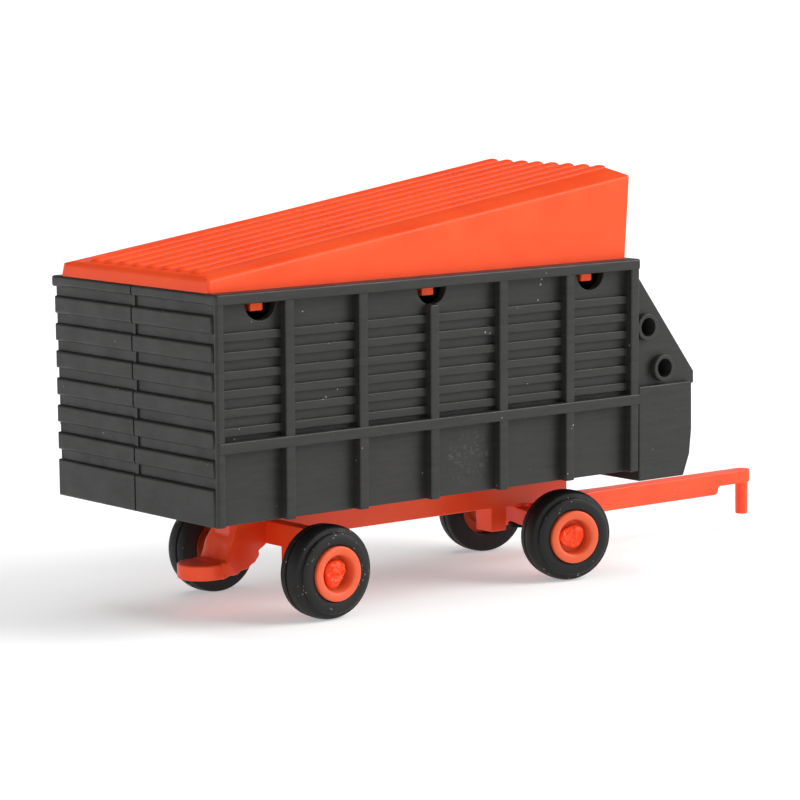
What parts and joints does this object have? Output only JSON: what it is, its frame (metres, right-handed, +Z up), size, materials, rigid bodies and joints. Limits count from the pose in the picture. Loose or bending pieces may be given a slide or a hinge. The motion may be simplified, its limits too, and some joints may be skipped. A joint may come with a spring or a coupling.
{
  "type": "toy forage wagon",
  "caption": "Miniature self-unloading forage wagon: ribbed black box with a wedge roof on a steerable orange running gear with drawbar and hitch pin.",
  "frame": {"origin": "on the ground, under the middle of the overall box", "axes": "+X forward along the drawbar, +Y left, +Z up"},
  "size_m": [0.1116, 0.0388, 0.0578],
  "materials": {
    "black_plastic": "matte moulded, fine grain",
    "orange_plastic": "satin moulded",
    "tyre_rubber": "dull soft vinyl",
    "steel": "zinc plated"
  },
  "bodies": {
    "wagon": {"body_right": "black_plastic", "body_left": "black_plastic", "front_unit": "black_plastic", "roof_cover": "orange_plastic", "chassis_frame": "orange_plastic", "kingpin": "steel", "body_screw_rear": "steel", "body_screw_front": "steel"},
    "steering_axle": {"front_axle": "orange_plastic"},
    "wheel_front_right": {"rim_front_right": "orange_plastic", "tyre_front_right": "tyre_rubber"},
    "wheel_front_left": {"rim_front_left": "orange_plastic", "tyre_front_left": "tyre_rubber"},
    "wheel_rear_right": {"rim_rear_right": "orange_plastic", "tyre_rear_right": "tyre_rubber"},
    "wheel_rear_left": {"rim_rear_left": "orange_plastic", "tyre_rear_left": "tyre_rubber"}
  },
  "joints": [
    {"name": "steer", "type": "hinge", "parent": "wagon", "child": "steering_axle", "pos_m": [0.01038, 0, 0.0089], "axis": [0, 0, 1], "range_deg": [-9.33, 34.67]},
    {"name": "spin_front_right", "type": "hinge", "parent": "steering_axle", "child": "wheel_front_right", "pos_m": [0.01038, 0, 0.00635], "axis": [0.2193, 0.9756, 0], "continuous": true},
    {"name": "spin_front_left", "type": "hinge", "parent": "steering_axle", "child": "wheel_front_left", "pos_m": [0.01038, 0, 0.00635], "axis": [0.2193, 0.9756, 0], "continuous": true},
    {"name": "spin_rear_right", "type": "hinge", "parent": "wagon", "child": "wheel_rear_right", "pos_m": [-0.03503, 0, 0.00635], "axis": [0, 1, 0], "continuous": true},
    {"name": "spin_rear_left", "type": "hinge", "parent": "wagon", "child": "wheel_rear_left", "pos_m": [-0.03503, 0, 0.00635], "axis": [0, 1, 0], "continuous": true}
  ]
}
